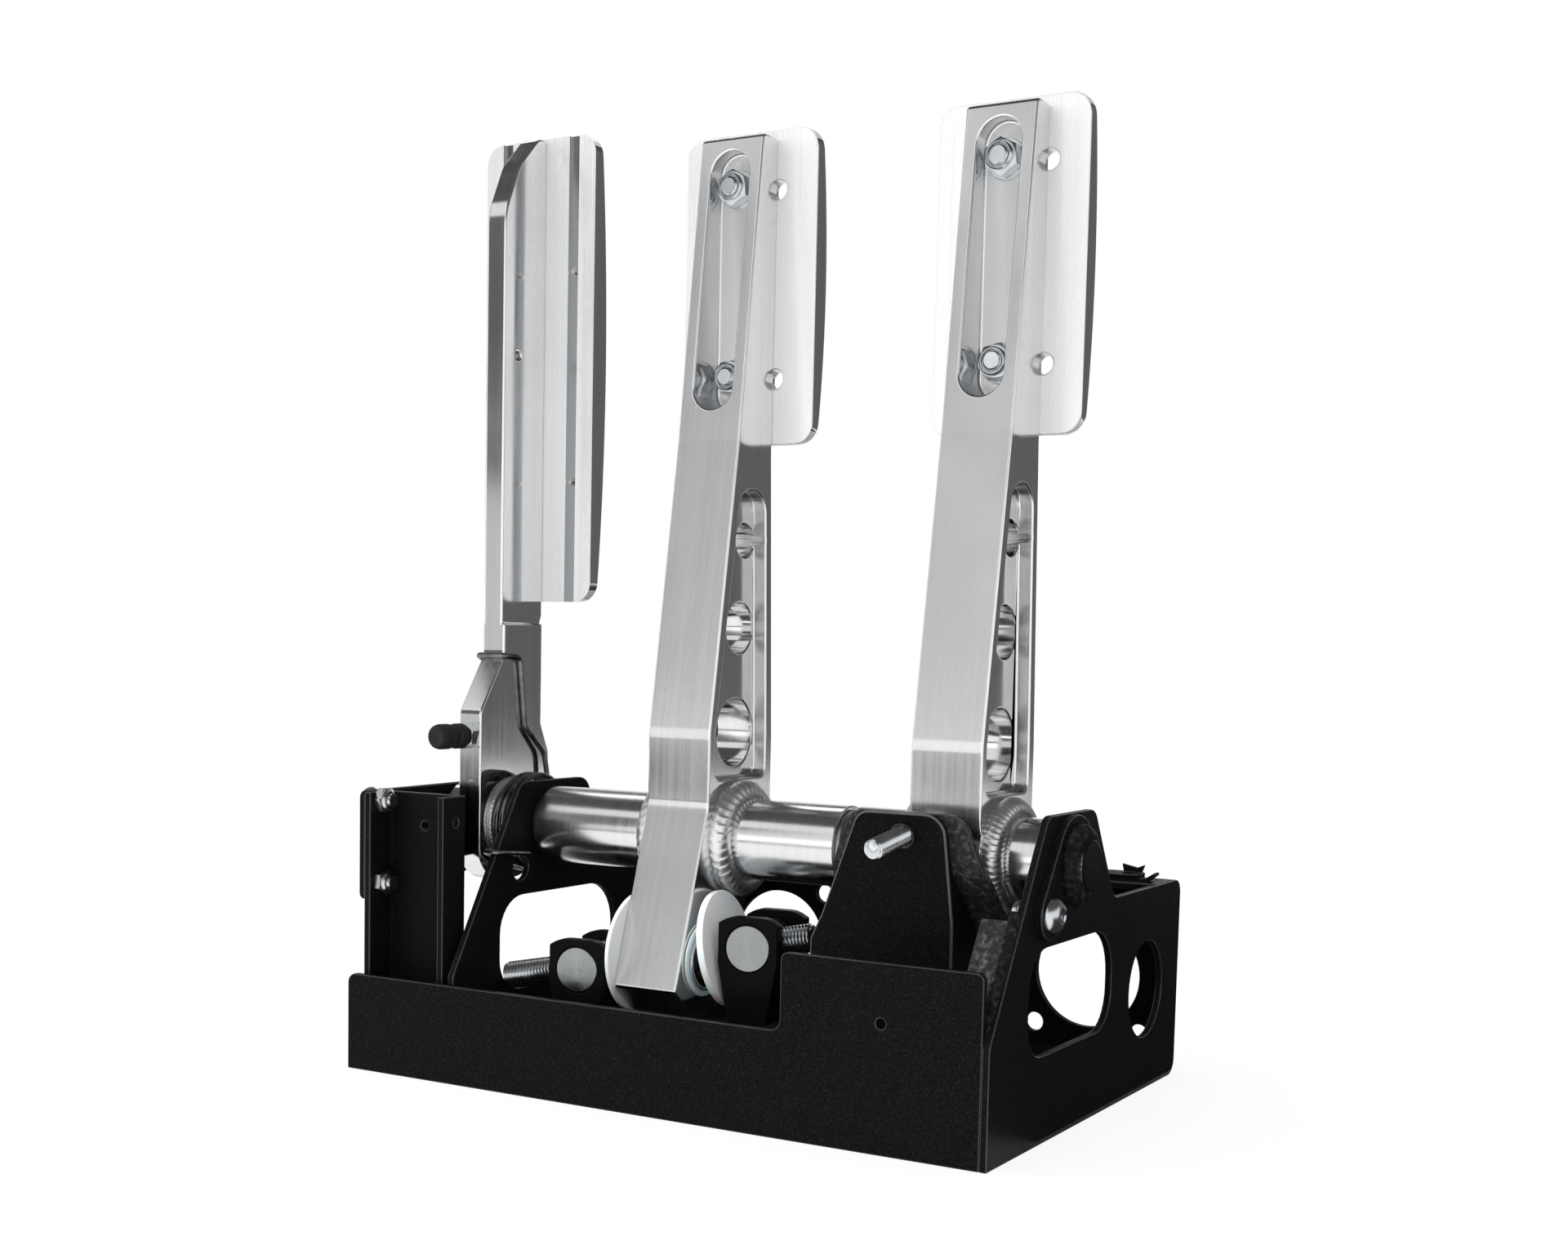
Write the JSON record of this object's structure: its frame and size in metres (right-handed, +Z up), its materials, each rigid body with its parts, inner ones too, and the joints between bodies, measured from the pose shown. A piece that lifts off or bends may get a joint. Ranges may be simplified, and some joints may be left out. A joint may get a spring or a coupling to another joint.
{
  "type": "racing pedal set",
  "caption": "Floor-mounted racing pedal set: throttle, brake and clutch pedals on a cross shaft in a sheet steel base, with a balance bar on the brake.",
  "frame": {"origin": "centre of the base's underside", "axes": "+X to the clutch side, +Y to the driver, +Z up"},
  "size_m": [0.3108, 0.205, 0.409],
  "materials": {
    "powder_coat": "fine textured satin powder coat",
    "brushed_alloy": "brushed along the arm, with bright milled edges",
    "turned_alloy": "polished, turned",
    "weld_alloy": "rippled weld bead",
    "zinc_steel": "bright zinc plated",
    "bronze": "plain bearing bronze",
    "white_nylon": "translucent white nylon",
    "black_rubber": "matte",
    "spring_steel": "oiled spring wire",
    "clip_black": "satin black"
  },
  "bodies": {
    "frame": {"base_tray": "powder_coat", "front_wall": "powder_coat", "right_side_plate": "powder_coat", "inner_side_plate": "powder_coat", "throttle_bracket": "powder_coat", "outrigger_plate": "powder_coat", "outrigger_screws": "zinc_steel", "outrigger_nuts": "zinc_steel", "clutch_stop_bracket": "powder_coat", "clutch_stop_brace": "powder_coat", "clutch_stop_stud": "zinc_steel", "clutch_stop_nut": "zinc_steel", "flange_clips": "clip_black", "cross_shaft": "zinc_steel", "shaft_retainer": "powder_coat", "retainer_screw": "zinc_steel", "retainer_nut": "zinc_steel", "throttle_spring": "spring_steel"},
    "brake_pedal": {"brake_arm": "brushed_alloy", "brake_tube": "turned_alloy", "brake_welds": "weld_alloy", "brake_bushes": "bronze", "brake_pad": "brushed_alloy", "brake_pad_bolts": "zinc_steel", "brake_pad_washers": "zinc_steel", "brake_pad_nuts": "zinc_steel", "bearing_housing": "zinc_steel", "housing_washers": "white_nylon"},
    "bar": {"balance_bar": "zinc_steel", "bar_ball": "zinc_steel", "bar_collars": "zinc_steel", "nylon_spacer": "white_nylon"},
    "left_trunnion": {"trunnion_left": "zinc_steel"},
    "right_trunnion": {"trunnion_right": "zinc_steel"},
    "left_clevis": {"clevis_left": "powder_coat"},
    "right_clevis": {"clevis_right": "powder_coat"},
    "clutch_pedal": {"clutch_arm": "brushed_alloy", "clutch_tube": "turned_alloy", "clutch_welds": "weld_alloy", "clutch_bushes": "bronze", "clutch_pad": "brushed_alloy", "clutch_pad_bolts": "zinc_steel", "clutch_pad_washers": "zinc_steel", "clutch_pad_nuts": "zinc_steel"},
    "throttle_pedal": {"throttle_arm": "brushed_alloy", "throttle_tube": "turned_alloy", "throttle_welds": "weld_alloy", "throttle_bushes": "bronze", "throttle_pad": "brushed_alloy", "throttle_pad_screws": "zinc_steel", "throttle_stop_bolt": "zinc_steel", "throttle_stop_nut": "zinc_steel", "throttle_stop_rubber": "black_rubber"}
  },
  "joints": [
    {"name": "brake_hinge", "type": "hinge", "parent": "frame", "child": "brake_pedal", "pos_m": [-0.013, -0.032, 0.105], "axis": [1, 0, 0], "range_deg": [0, 15]},
    {"name": "clutch_hinge", "type": "hinge", "parent": "frame", "child": "clutch_pedal", "pos_m": [0.108, -0.032, 0.105], "axis": [1, 0, 0], "range_deg": [0, 17]},
    {"name": "throttle_hinge", "type": "hinge", "parent": "frame", "child": "throttle_pedal", "pos_m": [-0.122, -0.032, 0.105], "axis": [1, 0, 0], "range_deg": [0, 21], "stiffness_Nm_per_rad": 3, "springref_deg": -34.38, "deforming": ["throttle_spring"]},
    {"name": "bar_tilt", "type": "hinge", "parent": "brake_pedal", "child": "bar", "pos_m": [-0.013, -0.057, 0.057], "axis": [0, -0.8472, 0.5312], "range_deg": [-12, 0]},
    {"name": "left_trunnion_swing", "type": "hinge", "parent": "bar", "child": "left_trunnion", "pos_m": [-0.04905, -0.06143, 0.04994], "axis": [0.9743, 0.1196, 0.1908], "range_deg": [-15, 95]},
    {"name": "right_trunnion_swing", "type": "hinge", "parent": "bar", "child": "right_trunnion", "pos_m": [0.02743, -0.05203, 0.06492], "axis": [0.9743, 0.1196, 0.1908], "range_deg": [-15, 95]},
    {"name": "left_clevis_pivot", "type": "hinge", "parent": "left_trunnion", "child": "left_clevis", "pos_m": [-0.04905, -0.06143, 0.04994], "axis": [-0.1219, 0.9925, 0], "range_deg": [-10, 1]},
    {"name": "right_clevis_pivot", "type": "hinge", "parent": "right_trunnion", "child": "right_clevis", "pos_m": [0.02743, -0.05203, 0.06492], "axis": [-0.1219, 0.9925, 0], "range_deg": [-20, 3]}
  ]
}
